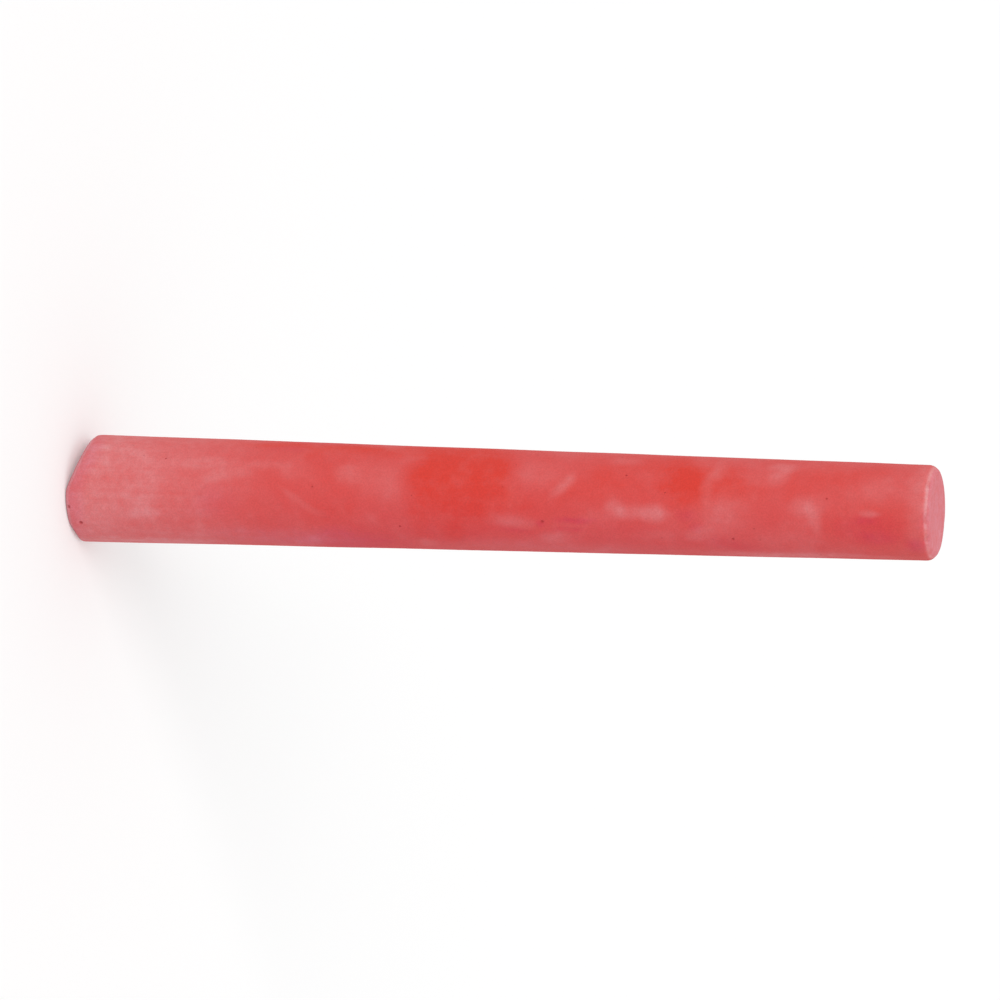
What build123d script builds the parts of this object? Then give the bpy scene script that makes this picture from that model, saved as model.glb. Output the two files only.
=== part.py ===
"""A stick of moulded blackboard chalk: one solid, in millimetres.

Gypsum slurry is poured into a tapered mould from the wide end, and the set stick is pushed out
by that end. So the side is a straight cone, the narrow end is square and crisp, and the wide
end is where the pour was struck off. This stick has been written with: one side of its wide end
is rubbed down to a slant, and its rim has one small knock.

The stick stands on what is left of its wide end. The origin is the middle of that end, and +Z
runs up the stick to the narrow end.
"""
import math
import os

from build123d import *

# The cone
stick_length = 80.0
wide_diameter = 10.0
narrow_diameter = 8.5
narrow_rim_radius = 0.35

# The slant that writing has rubbed on the wide end. Directions are degrees from +X towards +Y.
slant_direction = 210.0
slant_start = 2.2  # from the axis to the line where the flat ends and the slant begins
slant_angle = 25.0  # how far the slant rises from the flat
slant_crease_radius = 1.0
wide_rim_radius = 0.45

# The knock on the wide rim, a flat at 45 degrees
knock_direction = 332.0
knock_height = 0.5  # how far up the side it reaches

# Anything that cuts is this much larger than the stick
cutter_size = 4 * wide_diameter


def cast_stick():
    """The stick as it leaves the mould: a truncated cone on the XY plane."""
    return Cone(
        bottom_radius=wide_diameter / 2,
        top_radius=narrow_diameter / 2,
        height=stick_length,
        align=(Align.CENTER, Align.CENTER, Align.MIN),
    )


def outward(direction):
    """The level unit vector that points the given number of degrees from +X."""
    angle = math.radians(direction)
    return Vector(math.cos(angle), math.sin(angle), 0)


def below(point, direction, rise):
    """A block whose top is the plane through a point that rises outwards at an angle."""
    across = outward(direction + 90)
    normal = (Vector(0, 0, 1) * math.cos(math.radians(rise))
              - outward(direction) * math.sin(math.radians(rise)))
    plane = Plane(origin=point, x_dir=across, z_dir=normal)
    return plane * Box(
        cutter_size, cutter_size, cutter_size,
        align=(Align.CENTER, Align.CENTER, Align.MAX),
    )


def rub_slant(stick):
    """Rubs the slant on the wide end, with a soft crease where it meets the flat."""
    start = outward(slant_direction) * slant_start
    stick -= below(start, slant_direction, slant_angle)
    crease = stick.edges().filter_by(GeomType.LINE).sort_by(Axis.Z)[0]
    return fillet(crease, slant_crease_radius)


def round_rims(stick):
    """Rounds the narrow rim, then the rim of the wide end all the way round."""
    narrow_rim = stick.faces().sort_by(Axis.Z)[-1].edges()
    stick = fillet(narrow_rim, narrow_rim_radius)
    side = stick.faces().filter_by(GeomType.CONE)[0]
    top_of_side = side.edges().sort_by(Axis.Z)[-1]
    wide_rim = [
        edge for edge in side.edges()
        if edge.geom_type != GeomType.LINE and edge.center().Z < top_of_side.center().Z / 2
    ]
    return fillet(wide_rim, wide_rim_radius)


def knock_rim(stick):
    """Takes the small flat off the wide rim."""
    corner = outward(knock_direction) * (wide_diameter / 2)
    return stick - below(corner + Vector(0, 0, knock_height), knock_direction, 45)


chalk_stick = knock_rim(round_rims(rub_slant(cast_stick())))

os.makedirs("parts", exist_ok=True)
export_step(chalk_stick, "parts/chalk_stick.step")
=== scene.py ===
# %% [markdown]
# # A stick of red blackboard chalk
#
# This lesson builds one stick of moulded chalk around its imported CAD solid. The CAD holds the
# true form: a straight cone, a square narrow end, and a wide end that writing has rubbed to a
# slant. Blender adds what the eye looks for on chalk: soft broken rims, air pits, faint lines
# where the stick slid out of its mould, and a red dye that dust and fingers have made uneven.

# %% Load the frame
import math
import random

import bmesh
import bpy
from mathutils import Matrix, Vector, noise


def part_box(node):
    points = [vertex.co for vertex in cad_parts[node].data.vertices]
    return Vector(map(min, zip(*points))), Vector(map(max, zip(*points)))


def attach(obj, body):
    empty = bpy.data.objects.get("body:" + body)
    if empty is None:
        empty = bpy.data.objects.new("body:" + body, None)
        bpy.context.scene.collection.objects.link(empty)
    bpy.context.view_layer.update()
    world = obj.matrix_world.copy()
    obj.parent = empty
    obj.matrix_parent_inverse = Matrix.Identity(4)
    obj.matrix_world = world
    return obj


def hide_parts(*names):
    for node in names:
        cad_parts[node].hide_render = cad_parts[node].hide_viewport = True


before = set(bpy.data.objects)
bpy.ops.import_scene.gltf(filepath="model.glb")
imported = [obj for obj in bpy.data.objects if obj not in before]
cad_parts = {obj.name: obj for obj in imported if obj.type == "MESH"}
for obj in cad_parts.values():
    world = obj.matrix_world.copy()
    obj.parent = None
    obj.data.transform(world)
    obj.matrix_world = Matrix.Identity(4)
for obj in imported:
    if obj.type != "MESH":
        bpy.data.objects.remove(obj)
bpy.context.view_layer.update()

# %% [markdown]
# ## Sizes
#
# Blender works in metres and a stick of chalk is thought of in millimetres, so one named value
# turns one into the other. The length and the wide end's thickness are read from the frame. The
# narrow end is measured on the CAD mesh too, as the furthest that any vertex near the top lies
# from the axis. The rims, the slant and the knock repeat the CAD's own sizes, because a box can't
# give them.

# %% Sizes
MM = 0.001

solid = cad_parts["chalk_stick"]
low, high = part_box("chalk_stick")
LENGTH = high.z - low.z
NARROW_RIM = 0.35 * MM
WIDE_RIM = 0.45 * MM


def radius_of_solid(height):
    """How far the CAD mesh reaches from the axis close to a height."""
    near = [v.co for v in solid.data.vertices if abs(v.co.z - height) < 0.05 * MM]
    return max(math.hypot(co.x, co.y) for co in near)


TOP_OF_SIDE = LENGTH - NARROW_RIM
WIDE_RADIUS = high.x
TAPER = (WIDE_RADIUS - radius_of_solid(TOP_OF_SIDE)) / TOP_OF_SIDE
NARROW_RADIUS = WIDE_RADIUS - TAPER * LENGTH
print("length", LENGTH / MM, "wide", 2 * WIDE_RADIUS / MM, "narrow", 2 * NARROW_RADIUS / MM)

SLANT_DIRECTION = 210
SLANT_START = 2.2 * MM
SLANT_RISE = math.tan(math.radians(25))
KNOCK_DIRECTION = 332
KNOCK_HEIGHT = 0.5 * MM

# %% [markdown]
# ## Directions round the stick
#
# Marks on a round stick are easiest to place by two numbers: the height above the wide end, and
# the direction from the axis in degrees, counted from +X towards +Y. The side that faces the
# camera is then 270. A few small helpers turn these into points and back.

# %% Directions
def outward(direction):
    """The level unit vector that points a number of degrees from +X."""
    angle = math.radians(direction)
    return Vector((math.cos(angle), math.sin(angle), 0))


def on_side(height, direction):
    """The point on the cone at a height and a direction."""
    point = outward(direction) * (WIDE_RADIUS - TAPER * height)
    point.z = height
    return point


def direction_of(co):
    """The direction of a point, in degrees."""
    return math.degrees(math.atan2(co.y, co.x)) % 360


def turn_between(direction, other):
    """Degrees from one direction to another, from -180 to 180."""
    return (direction - other + 180) % 360 - 180


def ease(value, start, end):
    """0 before start, 1 after end, and a smooth step between them."""
    share = min(max((value - start) / (end - start), 0), 1)
    return share * share * (3 - 2 * share)


print("camera side", tuple(on_side(0, 270)))

# %% [markdown]
# ## The casting
#
# The real stick leaves a tapered brass mould, so it is a truncated cone with rounded rims. It
# could be spun from a profile, but the cone operator makes the same form in one call. The rims
# are bevelled while the mesh is still coarse, because a bevel on a few long edges is clean.

# %% The casting
STEPS_ROUND = 168
RIM_SEGMENTS = 6


def cast_cone(bm):
    """A truncated cone that stands on the floor, with its two flat ends."""
    bmesh.ops.create_cone(
        bm, cap_ends=True, cap_tris=False, segments=STEPS_ROUND,
        radius1=WIDE_RADIUS, radius2=NARROW_RADIUS, depth=LENGTH,
        matrix=Matrix.Translation((0, 0, LENGTH / 2)),
    )


def end_face(bm, at_top):
    """The flat face at one end."""
    level = [f for f in bm.faces if len(f.verts) > 4]
    return (max if at_top else min)(level, key=lambda f: f.calc_center_median().z)


def settle_order(bm):
    """Sorts faces and edges by their corners. Some operators leave them in a new order each run."""
    bm.verts.index_update()
    for parts in (bm.edges, bm.faces):
        ranked = sorted(parts, key=lambda part: sorted(v.index for v in part.verts))
        rank = {part: place for place, part in enumerate(ranked)}
        parts.sort(key=rank.get)


def round_rim(bm, at_top, radius):
    """Bevels the rim of one end."""
    bmesh.ops.bevel(
        bm, geom=list(end_face(bm, at_top).edges), affect="EDGES", offset=radius,
        offset_type="OFFSET", segments=RIM_SEGMENTS, profile=0.5, material=-1,
        clamp_overlap=True,
    )
    settle_order(bm)


body = bmesh.new()
cast_cone(body)
round_rim(body, True, NARROW_RIM)
round_rim(body, False, WIDE_RIM)
print("coarse casting", len(body.verts), "vertices")

# %% [markdown]
# ## A mesh fine enough to dent
#
# Wear is a few hundredths of a millimetre deep, and it needs vertices to move. A Subdivision
# Surface would round the rims again, so the long edges are cut into rings instead, and each end
# is inset towards its middle and closed at one point.

# %% Rings and ends
RING_GAP = 0.21 * MM
END_RINGS = 16


def cut_rings(bm):
    """Cuts the side into thin rings."""
    long_edges = [e for e in bm.edges if e.calc_length() > LENGTH / 2]
    bmesh.ops.subdivide_edges(bm, edges=long_edges, cuts=round(LENGTH / RING_GAP) - 1)
    settle_order(bm)


def inset_end(bm, at_top, radius):
    """Insets an end towards its middle and closes it at one point."""
    for _ in range(END_RINGS - 1):
        face = end_face(bm, at_top)
        bmesh.ops.inset_region(bm, faces=[face], thickness=radius / END_RINGS)
    bmesh.ops.poke(bm, faces=[end_face(bm, at_top)])


cut_rings(body)
inset_end(body, True, NARROW_RADIUS - NARROW_RIM)
inset_end(body, False, WIDE_RADIUS - WIDE_RIM)
bmesh.ops.recalc_face_normals(body, faces=body.faces)
print("fine casting", len(body.verts), "vertices")

# %% [markdown]
# ## The slant and the knock
#
# Writing rubs one side of the wide end down. Cutting the mesh with a plane would leave ragged
# slivers in the fine rings, so the end is lifted instead: each vertex rises by the height of the
# slant above it, and the lift fades out up the side. The crease stays soft, as on real chalk. The
# knock is the other way round: what stands outside its plane is pressed back onto it. A layer
# keeps each vertex's height in the mould, so that the rim can still be found after the lift.

# %% The slant and the knock
CREASE = 0.3 * MM
LIFT_FADES_AT = 7 * MM

mould_height = body.verts.layers.float.new("mould_height")


def slant_height(co):
    """How high the slant stands over the floor at a point."""
    past = co.dot(outward(SLANT_DIRECTION)) - SLANT_START
    return SLANT_RISE * (past + math.hypot(past, CREASE)) / 2


def press_flat(bm, point, normal):
    """Moves every vertex that lies outside a plane back onto it."""
    for v in bm.verts:
        outside = (v.co - point).dot(normal)
        if outside > 0:
            v.co -= normal * outside


for v in body.verts:
    v[mould_height] = v.co.z
    v.co.z += slant_height(v.co) * (1 - ease(v.co.z, 0, LIFT_FADES_AT))

knock_normal = (outward(KNOCK_DIRECTION) + Vector((0, 0, -1))).normalized()
press_flat(body, on_side(KNOCK_HEIGHT, KNOCK_DIRECTION), knock_normal)
print("slant rises", slant_height(on_side(0, SLANT_DIRECTION)) / MM, "mm")

# %% [markdown]
# ## Worn rims and an uneven side
#
# Gypsum is soft, so nothing on a used stick is exact. The side gets hollows a few hundredths of a
# millimetre deep, some broad and some the length of the stick, from where it dragged along the
# mould. Near a rim the loss is several times that, in short bites. Fingers have rounded the
# narrow rim, and writing the upper edge of the slant. All of it goes inwards, so the stick never
# grows past its CAD solid.

# %% Worn rims and an uneven side
BROAD = 0.06 * MM
DRAG = 0.014 * MM
POWDER = 0.012 * MM
FACE_LOSS = 0.04 * MM
RIM_BITE = 0.22 * MM
RIM_REACH = 0.9 * MM
BROAD_SIZE = 7 * MM
POWDER_SIZE = 0.5 * MM
BITE_SIZE = 1.3 * MM
BITE_FROM = 0.42
SMALL_BITE_FROM = 0.5
RUB_DEPTH = 0.1 * MM
RUB_REACH = 1.3 * MM
HANDLED_RADIUS = 0.85 * MM
SLANT_SIDE_FADES = (45, 95)
FLAT_FROM = 0.6
FACE_SIZE = 1.8 * MM


def wave(co, size, seed):
    """Smooth noise from 0 to 1, with lumps of about a given size."""
    return (noise.noise(co / size + Vector((seed, -seed, 2 * seed))) + 1) / 2


def drag_line(co):
    """Noise that changes fast round the stick and slowly along it."""
    return wave(Vector((co.x, co.y, co.z / 30)), 0.45 * MM, 7.3)


def inside_of(co, height):
    """How far a point lies in from the side of the casting."""
    return WIDE_RADIUS - TAPER * height - math.hypot(co.x, co.y)


def near_rim(height):
    """1 on either rim and 0 from a short way up or down the side."""
    return 1 - ease(min(height, LENGTH - height), 0, RIM_REACH)


def on_slant_side(co, height):
    """1 at the edge of the slant, and 0 round the other side and above it."""
    turn = abs(turn_between(direction_of(co), SLANT_DIRECTION))
    return (1 - ease(turn, *SLANT_SIDE_FADES)) * (1 - ease(height, 0, RUB_REACH))


def rubbed(co, height):
    """How much writing has rounded the upper edge of the slant."""
    close = 1 - ease(inside_of(co, height), 0, RUB_REACH)
    return RUB_DEPTH * (on_slant_side(co, height) * close) ** 2


def handle_rim(bm):
    """Rounds the narrow rim further, by drawing it in towards the centre of a wider rounding."""
    for v in bm.verts:
        height = v[mould_height]
        arm = Vector((HANDLED_RADIUS - inside_of(v.co, height), HANDLED_RADIUS - LENGTH + height))
        if min(arm) > 0 and arm.length > HANDLED_RADIUS:
            inwards, down = arm * (1 - HANDLED_RADIUS / arm.length)
            v.co -= Vector((v.co.x, v.co.y, 0)).normalized() * inwards + Vector((0, 0, down))


def loss_at(co, height):
    """How much of the surface has gone at a point. What writing rubs, it rubs smooth."""
    even = BROAD * wave(co, BROAD_SIZE, 1.7) + DRAG * drag_line(co)
    even += POWDER * wave(co, POWDER_SIZE, 4.1)
    bites = max(wave(co, BITE_SIZE, 9.2) - BITE_FROM, 0)
    bites += max(wave(co, POWDER_SIZE, 3.3) - SMALL_BITE_FROM, 0) / 2
    return even + RIM_BITE * near_rim(height) * bites * (1 - on_slant_side(co, height))


def wear_surface(bm):
    """Moves every vertex inwards by what it has lost. The flat ends lose less."""
    bm.normal_update()
    worst = 0
    for v in bm.verts:
        height = v[mould_height]
        flat = ease(abs(v.normal.z), FLAT_FROM, 1)
        loss = loss_at(v.co, height) * (1 - flat) + FACE_LOSS * wave(v.co, FACE_SIZE, 6.6) * flat
        loss += rubbed(v.co, height)
        v.co -= v.normal * loss
        worst = max(worst, loss)
    return worst


handle_rim(body)
print("deepest wear", wear_surface(body) / MM, "mm")

# %% [markdown]
# ## Chips and air pits
#
# Two kinds of hole are real enough to need their own shape. A chip is a scoop out of a rim, as if
# a ball had been pressed in. An air pit is a small bubble that burst on the mould wall: it is
# steep at its edge and round inside. The mesh is too coarse for the smallest, so the edges round
# each hole are subdivided first. A layer marks the holes, so that the material can paint shade into
# them.

# %% Where the holes are
hollow = body.verts.layers.float.new("hollow")

# height, direction, radius and depth, in millimetres and degrees
CHIPS = (
    (0.3, 24, 0.8, 0.28),
    (0.2, 118, 0.6, 0.22),
    (79.9, 279, 0.6, 0.10),
    (79.85, 232, 0.4, 0.12),
    (79.9, 306, 0.45, 0.12),
    (79.8, 78, 0.7, 0.22),
    (79.9, 152, 0.45, 0.16),
)
# height, direction and radius
PITS = (
    (0.35, 291, 0.17),
    (1.2, 311, 0.20),
    (9.4, 233, 0.11),
    (23.8, 262, 0.10),
    (31.9, 304, 0.13),
    (45.1, 294, 0.14),
    (52.6, 236, 0.11),
    (62.4, 311, 0.15),
    (70.9, 257, 0.11),
)
PITS_BEHIND = 20


def pits_behind(seed):
    """More pits, on the far side."""
    draw = random.Random(seed)
    for _ in range(PITS_BEHIND):
        yield draw.uniform(1, 79), draw.uniform(-8, 188), draw.choice((0.10, 0.12, 0.15, 0.22))


all_pits = (*PITS, *pits_behind(11))
print(len(CHIPS), "chips", len(all_pits), "pits")

# %% Press the holes
FINEST_EDGE = 0.05 * MM
MOST_CUTS = 3
PIT_DEPTH = 0.7


def refine(bm, centre, radius):
    """Subdivides the edges round a hole until they are fine enough, always in the same order."""
    near = [v for v in bm.verts if (v.co - centre).length < radius]
    edges = list(dict.fromkeys(e for v in near for e in v.link_edges))
    coarse = max(e.calc_length() for e in edges)
    cuts = min(math.ceil(coarse / FINEST_EDGE) - 1, MOST_CUTS)
    bmesh.ops.subdivide_edges(bm, edges=edges, cuts=cuts, use_grid_fill=True)


def press_hole(bm, centre, inwards, radius, depth, steep):
    """Presses a hole with a slightly uneven outline."""
    for v in bm.verts:
        away = v.co - centre
        if away.length > 1.5 * radius:
            continue
        ragged = radius * (0.7 + 0.6 * wave(v.co, 0.6 * radius, 5.5))
        share = away.length / ragged
        if share < 1:
            fall = (1 - share ** 2) ** (0.5 if steep else 1)
            v.co += inwards * depth * fall
            # The hole's share, which the material darkens as painted shade.
            v[hollow] = max(v[hollow], fall if steep else 0.2 * fall)


def surface_near(bm, height, direction):
    """The vertex nearest a height and a direction, and the way inwards there."""
    aim = on_side(height, direction)
    nearest = min(bm.verts, key=lambda v: (v.co - aim).length_squared)
    return nearest.co.copy(), -nearest.normal.copy()


def make_hole(bm, height, direction, radius, depth, steep):
    """Refines the mesh at a place on the side and presses one hole."""
    centre, inwards = surface_near(bm, height * MM, direction)
    refine(bm, centre, 1.3 * radius * MM)
    press_hole(bm, centre, inwards, radius * MM, depth * MM, steep)


for height, direction, radius, depth in CHIPS:
    make_hole(body, height, direction, radius, depth, False)
for height, direction, radius in all_pits:
    make_hole(body, height, direction, radius, PIT_DEPTH * radius, True)
settle_order(body)
print("worn and pitted", len(body.verts), "vertices")

# %% [markdown]
# ## Where the colour differs
#
# The dye is one red, but the stick isn't. Powder lies pale over both ends and in smears between
# them, the freshly rubbed stretches are a clean orange-red, and the underside leans to a cool
# crimson. The powder layer also holds painted light: a pale painted sheen along the lower edge,
# and pale patches that lift the shaded underside. The cool layer holds one painted shadow at the
# narrow rim. Noise alone can't put these where they belong, so each is painted into a layer as
# soft patches. A patch has a height, a direction, a half length, a half width, a tilt in degrees
# and a strength. A little noise bends its outline.

# %% Patches of powder, with a painted sheen and painted light on the underside
DUST_AND_PAINTED_LIGHT = (
    (0, 262, 16, 17, 0, 0.43), (2.2, 228, 3.5, 3, 0, 0.16), (7.4, 291, 1.4, 1.2, 0, 0.24),
    (6, 228, 1.8, 0.9, 0, 0.12), (13.6, 238, 3.4, 0.9, 4, 0.22), (14.9, 254, 2.7, 0.7, -18, 0.2),
    (18.7, 237, 2.4, 0.6, 3, 0.16), (22, 246, 2, 1.2, 0, 0.1), (22.7, 279, 3, 0.4, 31, 0.13),
    (29.6, 252, 2.7, 2.3, 0, 0.13), (27, 245, 1.4, 1.1, 0, 0.1), (44.7, 238, 2.6, 1.7, 0, 0.14),
    (46.9, 251, 0.7, 1.6, 30, 0.3), (42.2, 294, 2.2, 0.8, 0, 0.2), (34, 329, 1, 0.8, 0, 0.16),
    (46, 315, 2.2, 0.9, 0, 0.18), (52.4, 277, 1.1, 1.1, 0, 0.28), (54, 280, 1.9, 1, 3, 0.2),
    (55.6, 281, 1.3, 1.1, 0, 0.34), (52.2, 212, 1.3, 0.8, 0, 0.14), (60.6, 238, 0.6, 3, 4, 0.16),
    (61.6, 281, 2.6, 2.2, 0, 0.16), (59.4, 306, 1.5, 0.9, -30, 0.2), (66.8, 212, 1.5, 1, 0, 0.34),
    (66.4, 231, 1.4, 1, -32, 0.22), (69.5, 268, 1.5, 1.2, 0, 0.22), (69.8, 284, 0.8, 1.6, 0, 0.2),
    (74.5, 272, 1, 0.45, 2, 0.26), (75.4, 243, 1.5, 1.8, 0, 0.13), (79.2, 250, 1.3, 6, 0, 0.26),
    # Along the lower edge, the patches at 343 and 341 degrees are a painted sheen, and those at 328
    # and 334 degrees lighten the shaded underside: painted light, not powder.
    (6, 343, 8, 0.9, 0, 0.26), (68, 341, 12, 0.8, 0, 0.22), (20, 328, 9, 1.8, 0, 0.2),
    (44, 334, 12, 1.4, 0, 0.14),
)

# %% Patches of clean orange-red
RICH = (
    (37.4, 224, 5, 6.4, 0, 1), (34.9, 250, 1.7, 2, 0, 0.4), (41.6, 275, 2.8, 1.4, 0, 0.7),
    (40, 240, 1.3, 2, 0, 0.3), (37.6, 262, 5, 4, 0, 0.6), (23, 214, 1.6, 1, 0, 0.45),
    (20, 204, 8, 0.8, 0, 0.6), (31, 210, 1.8, 1.2, 0, 0.3), (26.5, 208, 3, 1.2, 0, 0.5),
    (57, 230, 5.5, 4, 0, 0.5), (58.2, 238, 1.5, 2.4, 0, 0.45), (62.8, 245, 3.4, 2.2, 0, 0.4),
    (71.3, 226, 5, 2.6, 0, 0.35), (26.3, 290, 2, 1.3, 0, 0.3), (18.4, 288, 2.5, 1.2, 0, 0.25),
    (51, 238, 2, 3, 0, 0.3), (37, 316, 2, 2.2, 0, 0.5), (33.7, 300, 0.9, 3, 0, 0.4),
    (74.6, 285, 3.4, 2.4, 0, 0.6), (26, 240, 7, 7, 0, 0.2), (48, 262, 5, 3, 0, 0.25),
    (33, 205, 8, 1.6, 0, 0.4), (59, 258, 4, 4, 0, 0.3),
)

# %% Patches of cool crimson, and one painted shadow
COOL = (
    (14.2, 281, 2.6, 1.8, 0, 0.3), (26.3, 333, 5, 1.9, 0, 0.7), (45, 294, 0.6, 0.45, 0, 0.6),
    (48.1, 291, 1.7, 0.4, 0, 0.75), (47.3, 302, 1.3, 0.35, 0, 0.5), (42.4, 305, 1.5, 0.4, 0, 0.3),
    (58.6, 280, 1, 0.7, 0, 0.5), (59.3, 296, 0.6, 0.8, 0, 0.4), (74.7, 292, 3.4, 2, 0, 0.45),
    (74.3, 282, 1.2, 0.6, 0, 0.3), (75.8, 302, 1.9, 0.8, 0, 0.4), (79, 316, 1.3, 1.1, 0, 0.8),
    # The patch at 79.5 mm and 279 degrees is a painted shadow at the narrow rim.
    (79.5, 279, 0.7, 1.6, 0, 0.4), (0.6, 258, 1.5, 9, 0, 0.6), (40, 338, 46, 6, 0, 0.35),
    (62, 320, 2.4, 1, 0, 0.3), (20.5, 212, 2, 0.5, 0, 0.3), (20, 326, 7, 1.6, 0, 0.35),
)
print(len(DUST_AND_PAINTED_LIGHT), "dust_and_painted_light", len(RICH), "rich", len(COOL), "cool patches")

# %% Paint the layers
BEHIND = 12
SOFT_FROM = 0.1
SOFT_TO = 1.4
BEND = 1.6
SMALL_BEND = 0.5
SWAY = 10
SMALL_SWAY = 3


def patches_behind(seed, strength):
    """A random set of patches for the far side."""
    draw = random.Random(seed)
    for _ in range(BEHIND):
        long = draw.uniform(1, 6)
        yield (
            draw.uniform(2, 78), draw.uniform(0, 180), long, draw.uniform(0.4, 0.8) * long,
            draw.uniform(-15, 15), strength * draw.uniform(0.3, 1),
        )


def patch_at(height, direction, patch):
    """How strongly one patch covers a height in millimetres and a direction."""
    at, towards, half_long, half_wide, tilt, strength = patch
    along = height - at
    if abs(along) > 2 * max(half_long, half_wide):
        return 0
    across = math.radians(turn_between(direction, towards)) * WIDE_RADIUS / MM
    turn = math.radians(tilt)
    along, across = (
        along * math.cos(turn) + across * math.sin(turn),
        across * math.cos(turn) - along * math.sin(turn),
    )
    distance = math.hypot(along / half_long, across / half_wide)
    return strength * (1 - ease(distance, SOFT_FROM, SOFT_TO))


def paint(bm, name, patches):
    """Writes a layer that holds the sum of the patches."""
    layer = bm.verts.layers.float.new(name)
    for v in bm.verts:
        bend = BEND * wave(v.co, 3 * MM, 2.9) + SMALL_BEND * wave(v.co, 0.8 * MM, 6.1)
        bend -= (BEND + SMALL_BEND) / 2
        sway = SWAY * wave(v.co, 3.4 * MM, 8.7) + SMALL_SWAY * wave(v.co, 0.7 * MM, 1.3)
        sway -= (SWAY + SMALL_SWAY) / 2
        height, direction = v[mould_height] / MM + bend, direction_of(v.co) + sway
        v[layer] = min(sum(patch_at(height, direction, p) for p in patches), 1)


paint(body, "dust_and_painted_light", (*DUST_AND_PAINTED_LIGHT, *patches_behind(5, 0.3)))
paint(body, "rich", (*RICH, *patches_behind(6, 0.8)))
paint(body, "cool", (*COOL, *patches_behind(7, 0.5)))

# %% [markdown]
# ## Pale rims and ends
#
# Every edge of a chalk stick is rubbed to bare powder, and so are its two flat ends. Those follow
# the shape and not a place, so they are added to the layer of powder and painted light afterwards.

# %% Pale rims and ends
dust_and_painted_light = body.verts.layers.float["dust_and_painted_light"]
cool = body.verts.layers.float["cool"]
RIM_DUST = 0.75
RIM_DUST_FULL = 0.1 * MM
RIM_DUST_GONE = 0.5 * MM
END_DUST = 0.55
END_COOL = 0.6
ON_END = 0.02 * MM


def rim_dust(v, height):
    """The powder that lies on a rim, thick in some places and thin in others."""
    line = 1 - ease(min(height, LENGTH - height), RIM_DUST_FULL, RIM_DUST_GONE)
    patchy = 0.6 + 0.9 * wave(v.co, 0.9 * MM, 3.7)
    return RIM_DUST * line * patchy * (1 - ease(inside_of(v.co, height), 0, MM))


for v in body.verts:
    height = v[mould_height]
    if height < ON_END or height > LENGTH - ON_END:
        v[dust_and_painted_light] = END_DUST
        v[cool] = END_COOL
    else:
        v[dust_and_painted_light] = min(v[dust_and_painted_light] + rim_dust(v, height), 1)
print("most dust", max(v[dust_and_painted_light] for v in body.verts))

# %% [markdown]
# ## To a mesh
#
# The finished form becomes one object at the origin. It rides on the stick's only body, and the CAD
# solid is hidden.

# %% To a mesh
mesh = bpy.data.meshes.new("chalk_body")
body.normal_update()
body.to_mesh(mesh)
body.free()
mesh.shade_smooth()
chalk = bpy.data.objects.new("chalk_body", mesh)
bpy.context.scene.collection.objects.link(chalk)
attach(chalk, "root")
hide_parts("chalk_stick")
mesh.calc_loop_triangles()
print("chalk body", len(mesh.loop_triangles), "triangles")

# %% [markdown]
# ## A bench for shader nodes
#
# A material in code is a list of nodes and wires, and most of it is the same three moves: add a
# node, set its numbers, join its sockets. One small class does those, so that the material itself
# reads as a recipe. Texture scales are given as the size of a lump in millimetres.

# %% Node bench
class Bench:
    """Adds nodes to one node tree and joins them."""

    def __init__(self, tree):
        self.tree = tree

    def feed(self, socket, value):
        """Sets a socket to a number or a colour, or joins another socket to it."""
        if isinstance(value, bpy.types.NodeSocket):
            self.tree.links.new(value, socket)
        else:
            socket.default_value = value

    def node(self, kind, inputs, **settings):
        """A node of a kind, with its settings and its inputs."""
        made = self.tree.nodes.new("ShaderNode" + kind)
        for name, value in settings.items():
            setattr(made, name, value)
        for socket, value in inputs.items():
            self.feed(made.inputs[socket], value)
        return made

    def noise(self, place, size_mm, detail, roughness):
        """Noise with lumps of a size in millimetres."""
        inputs = {"Vector": place, "Scale": 1 / (size_mm * MM), "Detail": detail,
                  "Roughness": roughness}
        return self.node("TexNoise", inputs).outputs["Fac"]

    def maths(self, operation, *values, clamp=False):
        """A Math node."""
        inputs = dict(enumerate(values))
        return self.node("Math", inputs, operation=operation, use_clamp=clamp).outputs[0]

    def spread(self, value, low, high, to_low, to_high):
        """Maps a range of a value smoothly onto another."""
        inputs = {"Value": value, "From Min": low, "From Max": high, "To Min": to_low,
                  "To Max": to_high}
        return self.node("MapRange", inputs, interpolation_type="SMOOTHSTEP").outputs["Result"]

    def blend(self, share, under, over):
        """Lays one colour over another by a share."""
        return self.node("Mix", {0: share, 6: under, 7: over}, data_type="RGBA").outputs[2]

    def layer(self, name):
        """The value of a painted layer."""
        return self.node("Attribute", {}, attribute_name=name).outputs["Fac"]


# %% [markdown]
# ## Red chalk
#
# Chalk is dyed gypsum with no binder that shines, so it scatters light almost evenly: a rough
# Principled shader with a little sheen for the loose powder. The painted layers mix its colours.
# Each layer is first multiplied by noise at the size of the powder, so that no patch has a clean
# outline. Noise stretched along the stick makes the faint streaks of the mould.

# %% Colours
SALMON = (0.687, 0.087, 0.084, 1)
ORANGE_RED = (0.70, 0.050, 0.036, 1)
CRIMSON = (0.64, 0.056, 0.078, 1)
PALE_PINK = (0.76, 0.30, 0.31, 1)
PALE_MAUVE = (0.74, 0.27, 0.325, 1)
# A dark red painted into pits, chips and pinholes as shade.
PIT_SHADE = (0.42, 0.035, 0.038, 1)


def broken(bench, name, breaker):
    """A painted layer with its edge broken up by noise."""
    return bench.maths("MULTIPLY", bench.layer(name), breaker, clamp=True)


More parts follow.
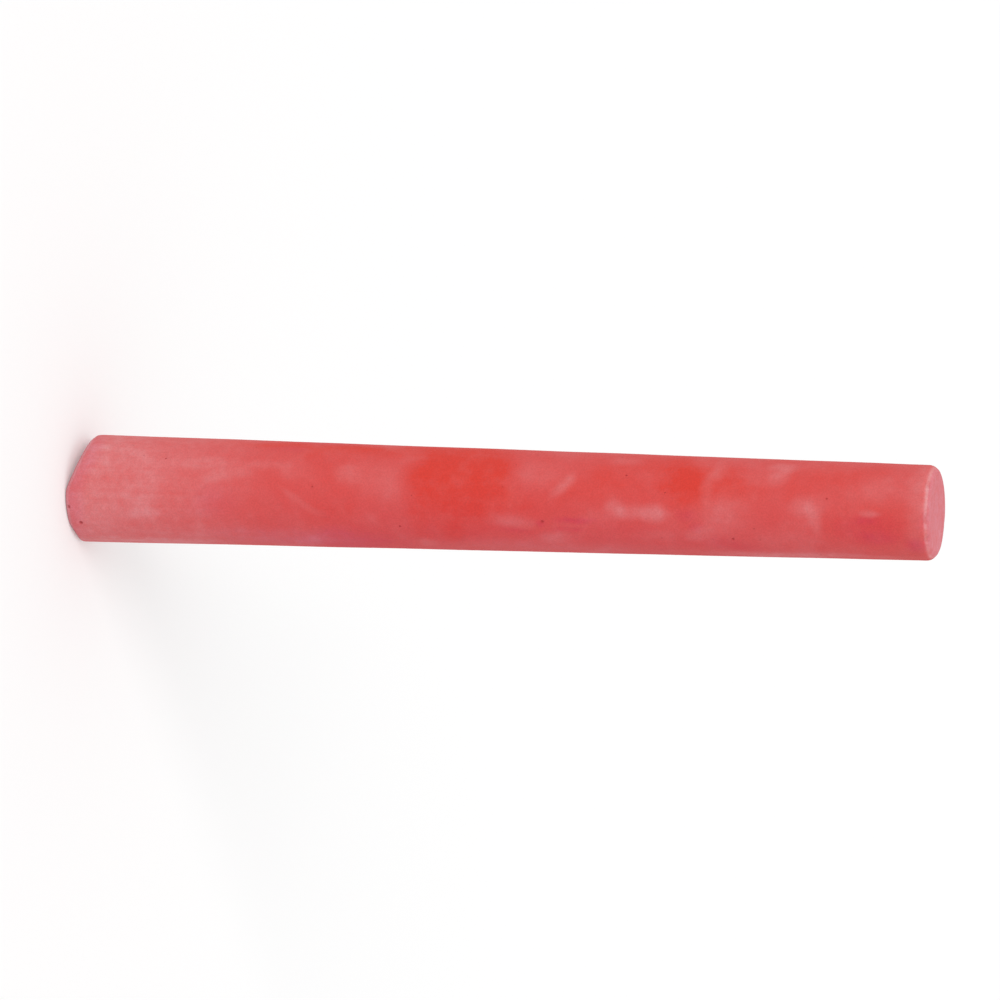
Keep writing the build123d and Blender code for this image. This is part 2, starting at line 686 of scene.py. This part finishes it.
def chalk_colour(bench, place, powder, streak, grain, pinhole):
    """The red of the dye, with its clean, cool and dusty places, and its painted light and shade.
    """
    mottle = bench.noise(place, 4, 3, 0.6)
    breaker = bench.maths("ADD", bench.spread(powder, 0.3, 0.7, 0.25, 0.75),
                          bench.spread(streak, 0.3, 0.7, 0.36, 0.64))
    rich = bench.maths("ADD", broken(bench, "rich", breaker),
                       bench.spread(mottle, 0.3, 0.5, 0.2, 0), clamp=True)
    colour = bench.blend(rich, SALMON, ORANGE_RED)
    # The cool layer also holds a painted shadow at the narrow rim.
    cool = broken(bench, "cool", breaker)
    colour = bench.blend(cool, colour, CRIMSON)
    veil = bench.maths("MULTIPLY", bench.spread(mottle, 0.45, 0.75, 0, 0.12), breaker)
    # The powder layer also holds a painted sheen along the lower edge and painted light on the
    # shaded underside.
    powder_and_light = bench.maths("ADD", broken(bench, "dust_and_painted_light", breaker), veil, clamp=True)
    colour = bench.blend(powder_and_light, colour, bench.blend(cool, PALE_PINK, PALE_MAUVE))
    # Pits, chips and pinholes darken towards a dark red: painted shade in the hollows.
    holes = bench.maths("MAXIMUM", bench.layer("hollow"), pinhole)
    colour = bench.blend(bench.maths("MULTIPLY", holes, 0.7), colour, PIT_SHADE)
    speckle = bench.spread(grain, 0.3, 0.7, 0.93, 1.07)
    return bench.node("VectorMath", {0: colour, 1: speckle}, operation="MULTIPLY").outputs[0]


def dots(bench, place, gap_mm, radius_mm, share):
    """Small dots about a gap apart, with only a share of the places taken."""
    cells = bench.node("TexVoronoi", {"Vector": place, "Scale": 1 / (gap_mm * MM)})
    radius = radius_mm / gap_mm
    dot = bench.spread(cells.outputs["Distance"], 0.4 * radius, radius, 1, 0)
    chance = bench.node("SeparateColor", {0: cells.outputs["Color"]}).outputs[0]
    return bench.maths("MULTIPLY", dot, bench.spread(chance, 1 - share, 1, 0, 1))


# %% Red chalk
SPECULAR = 0.2
SHEEN = 0.06
SHEEN_ROUGHNESS = 0.6
SHEEN_TINT = (1, 0.8, 0.8, 1)
BUMP_STRENGTH = 0.8
BUMP_DEPTH = 0.05 * MM


def red_chalk():
    """Matt dyed gypsum with powder, streaks, pinholes and fine grain, and painted light and shade.
    """
    made = bpy.data.materials.new("red_chalk")
    made.use_nodes = True
    bench = Bench(made.node_tree)
    shader = made.node_tree.nodes["Principled BSDF"]
    place = bench.node("TexCoord", {}).outputs["Object"]
    along = bench.node("Mapping", {"Vector": place, "Scale": (1, 1, 0.05)}).outputs["Vector"]
    powder = bench.noise(place, 0.9, 5, 0.7)
    grain = bench.noise(place, 0.14, 3, 0.6)
    streak = bench.noise(along, 0.7, 4, 0.6)
    pinhole = dots(bench, place, 1, 0.08, 0.35)
    colour = chalk_colour(bench, place, powder, streak, grain, pinhole)
    bench.feed(shader.inputs["Base Color"], colour)
    bench.feed(shader.inputs["Roughness"], bench.spread(grain, 0.3, 0.7, 0.86, 0.98))
    shader.inputs["Specular IOR Level"].default_value = SPECULAR
    shader.inputs["Sheen Weight"].default_value = SHEEN
    shader.inputs["Sheen Roughness"].default_value = SHEEN_ROUGHNESS
    shader.inputs["Sheen Tint"].default_value = SHEEN_TINT

    relief = bench.maths("MULTIPLY_ADD", powder, 0.6, grain)
    relief = bench.maths("MULTIPLY_ADD", streak, 0.5, relief)
    relief = bench.maths("MULTIPLY_ADD", pinhole, -2.0, relief)
    inputs = {"Strength": BUMP_STRENGTH, "Distance": BUMP_DEPTH, "Height": relief}
    bump = bench.node("Bump", inputs)
    bench.feed(shader.inputs["Normal"], bump.outputs["Normal"])
    return made


mesh.materials.append(red_chalk())
print("material", mesh.materials[0].name)

# %% [markdown]
# ## The floor
#
# The stick stands on a plain white sheet. White paint isn't enough to look white, because a real
# sheet sends back only four fifths of the light. Turning up the lamps would bleach the chalk, so
# the floor glows a little, but only for rays from the camera and for mirror rays. The glow tops
# the lit floor up to white and leaves the shadow a soft grey.

# %% The floor
FLOOR_SIDE = 6.0
FLOOR_WHITE = (0.8, 0.8, 0.8, 1)
FLOOR_GLOW = 0.21


def pale_floor():
    """A white floor that keeps its shadow and looks white to the camera."""
    made = bpy.data.materials.new("pale_floor")
    made.use_nodes = True
    made.node_tree.nodes.clear()
    bench = Bench(made.node_tree)
    path = bench.node("LightPath", {}).outputs
    seen = bench.maths("MAXIMUM", path["Is Camera Ray"], path["Is Glossy Ray"])
    diffuse = bench.node("BsdfDiffuse", {"Color": FLOOR_WHITE})
    glow = bench.node("Emission", {"Strength": bench.maths("MULTIPLY", seen, FLOOR_GLOW)})
    both = bench.node("AddShader", {0: diffuse.outputs[0], 1: glow.outputs[0]})
    bench.node("OutputMaterial", {"Surface": both.outputs[0]})
    return made


floor_bm = bmesh.new()
bmesh.ops.create_grid(floor_bm, x_segments=1, y_segments=1, size=FLOOR_SIDE / 2)
floor_mesh = bpy.data.meshes.new("floor")
floor_bm.to_mesh(floor_mesh)
floor_bm.free()
floor_mesh.materials.append(pale_floor())
floor = bpy.data.objects.new("floor", floor_mesh)
bpy.context.scene.collection.objects.link(floor)
print("floor", FLOOR_SIDE, "m square")

# %% [markdown]
# ## The light
#
# Matt chalk needs a broad, even light, with just enough from one side to show that it is round. A
# pale world gives most of it. The key light stands well up and a little to the -X side of the
# camera; as the camera is rolled, it comes from above and from the right in the picture. An area
# lamp would leave the far floor dim, so it is a sun, made so wide that its shadow has a soft
# blur. The two together light the near side to about 1, so a colour shows about as it is written.

# %% The light
AMBIENT = 0.84
KEY_DIRECTION = 245
KEY_ELEVATION = math.radians(38)
KEY_WIDTH = math.radians(28)
KEY_SHARE = 0.25

scene = bpy.context.scene
scene.view_settings.view_transform = "Standard"


def even_world():
    """A white world that is plain white to the camera and AMBIENT to everything else."""
    world = bpy.data.worlds.new("studio")
    world.use_nodes = True
    bench = Bench(world.node_tree)
    path = bench.node("LightPath", {}).outputs
    strength = bench.maths("MULTIPLY_ADD", path["Is Camera Ray"], 1 - AMBIENT, AMBIENT)
    background = world.node_tree.nodes["Background"]
    bench.feed(background.inputs["Strength"], strength)
    bench.feed(background.inputs["Color"], (1, 1, 1, 1))
    return world


def wide_sun(name, direction, elevation, width, share):
    """A sun from a direction that lights a white sheet facing it to a share of white."""
    data = bpy.data.lights.new(name, "SUN")
    data.angle = width
    data.energy = share * math.pi
    lamp = bpy.data.objects.new(name, data)
    away = outward(direction) * math.cos(elevation) + Vector((0, 0, math.sin(elevation)))
    lamp.rotation_euler = away.to_track_quat("Z", "Y").to_euler()
    scene.collection.objects.link(lamp)
    return lamp


scene.world = even_world()
key = wide_sun("key", KEY_DIRECTION, KEY_ELEVATION, KEY_WIDTH, KEY_SHARE)
print("key light energy", key.data.energy)

# %% [markdown]
# ## The camera
#
# The camera looks at the middle of the stick from the -Y side and a little above, so the narrow
# end's face shows as a thin crescent. It is rolled a quarter turn, so that a standing stick lies
# across the picture with its narrow end to the right, and a little more, for a slight slope.

# %% The camera
CAMERA_DISTANCE = 0.45
CAMERA_ELEVATION = math.radians(16)
FRAME_WIDTH = 0.090
SLOPE = math.radians(1.69)
SENSOR = 36

back = Vector((0, -math.cos(CAMERA_ELEVATION), math.sin(CAMERA_ELEVATION)))
right = Vector((0, math.sin(CAMERA_ELEVATION), math.cos(CAMERA_ELEVATION)))
right = Matrix.Rotation(SLOPE, 3, back) @ right
up = back.cross(right)
camera_data = bpy.data.cameras.new("camera")
camera_data.sensor_width = SENSOR
camera_data.lens = SENSOR * CAMERA_DISTANCE / FRAME_WIDTH
camera = bpy.data.objects.new("camera", camera_data)
camera.matrix_world = Matrix((right, up, back)).transposed().to_4x4()
camera.location = Vector((0, 0, LENGTH / 2)) + back * CAMERA_DISTANCE
scene.collection.objects.link(camera)
scene.camera = camera
print("lens", camera_data.lens, "mm")
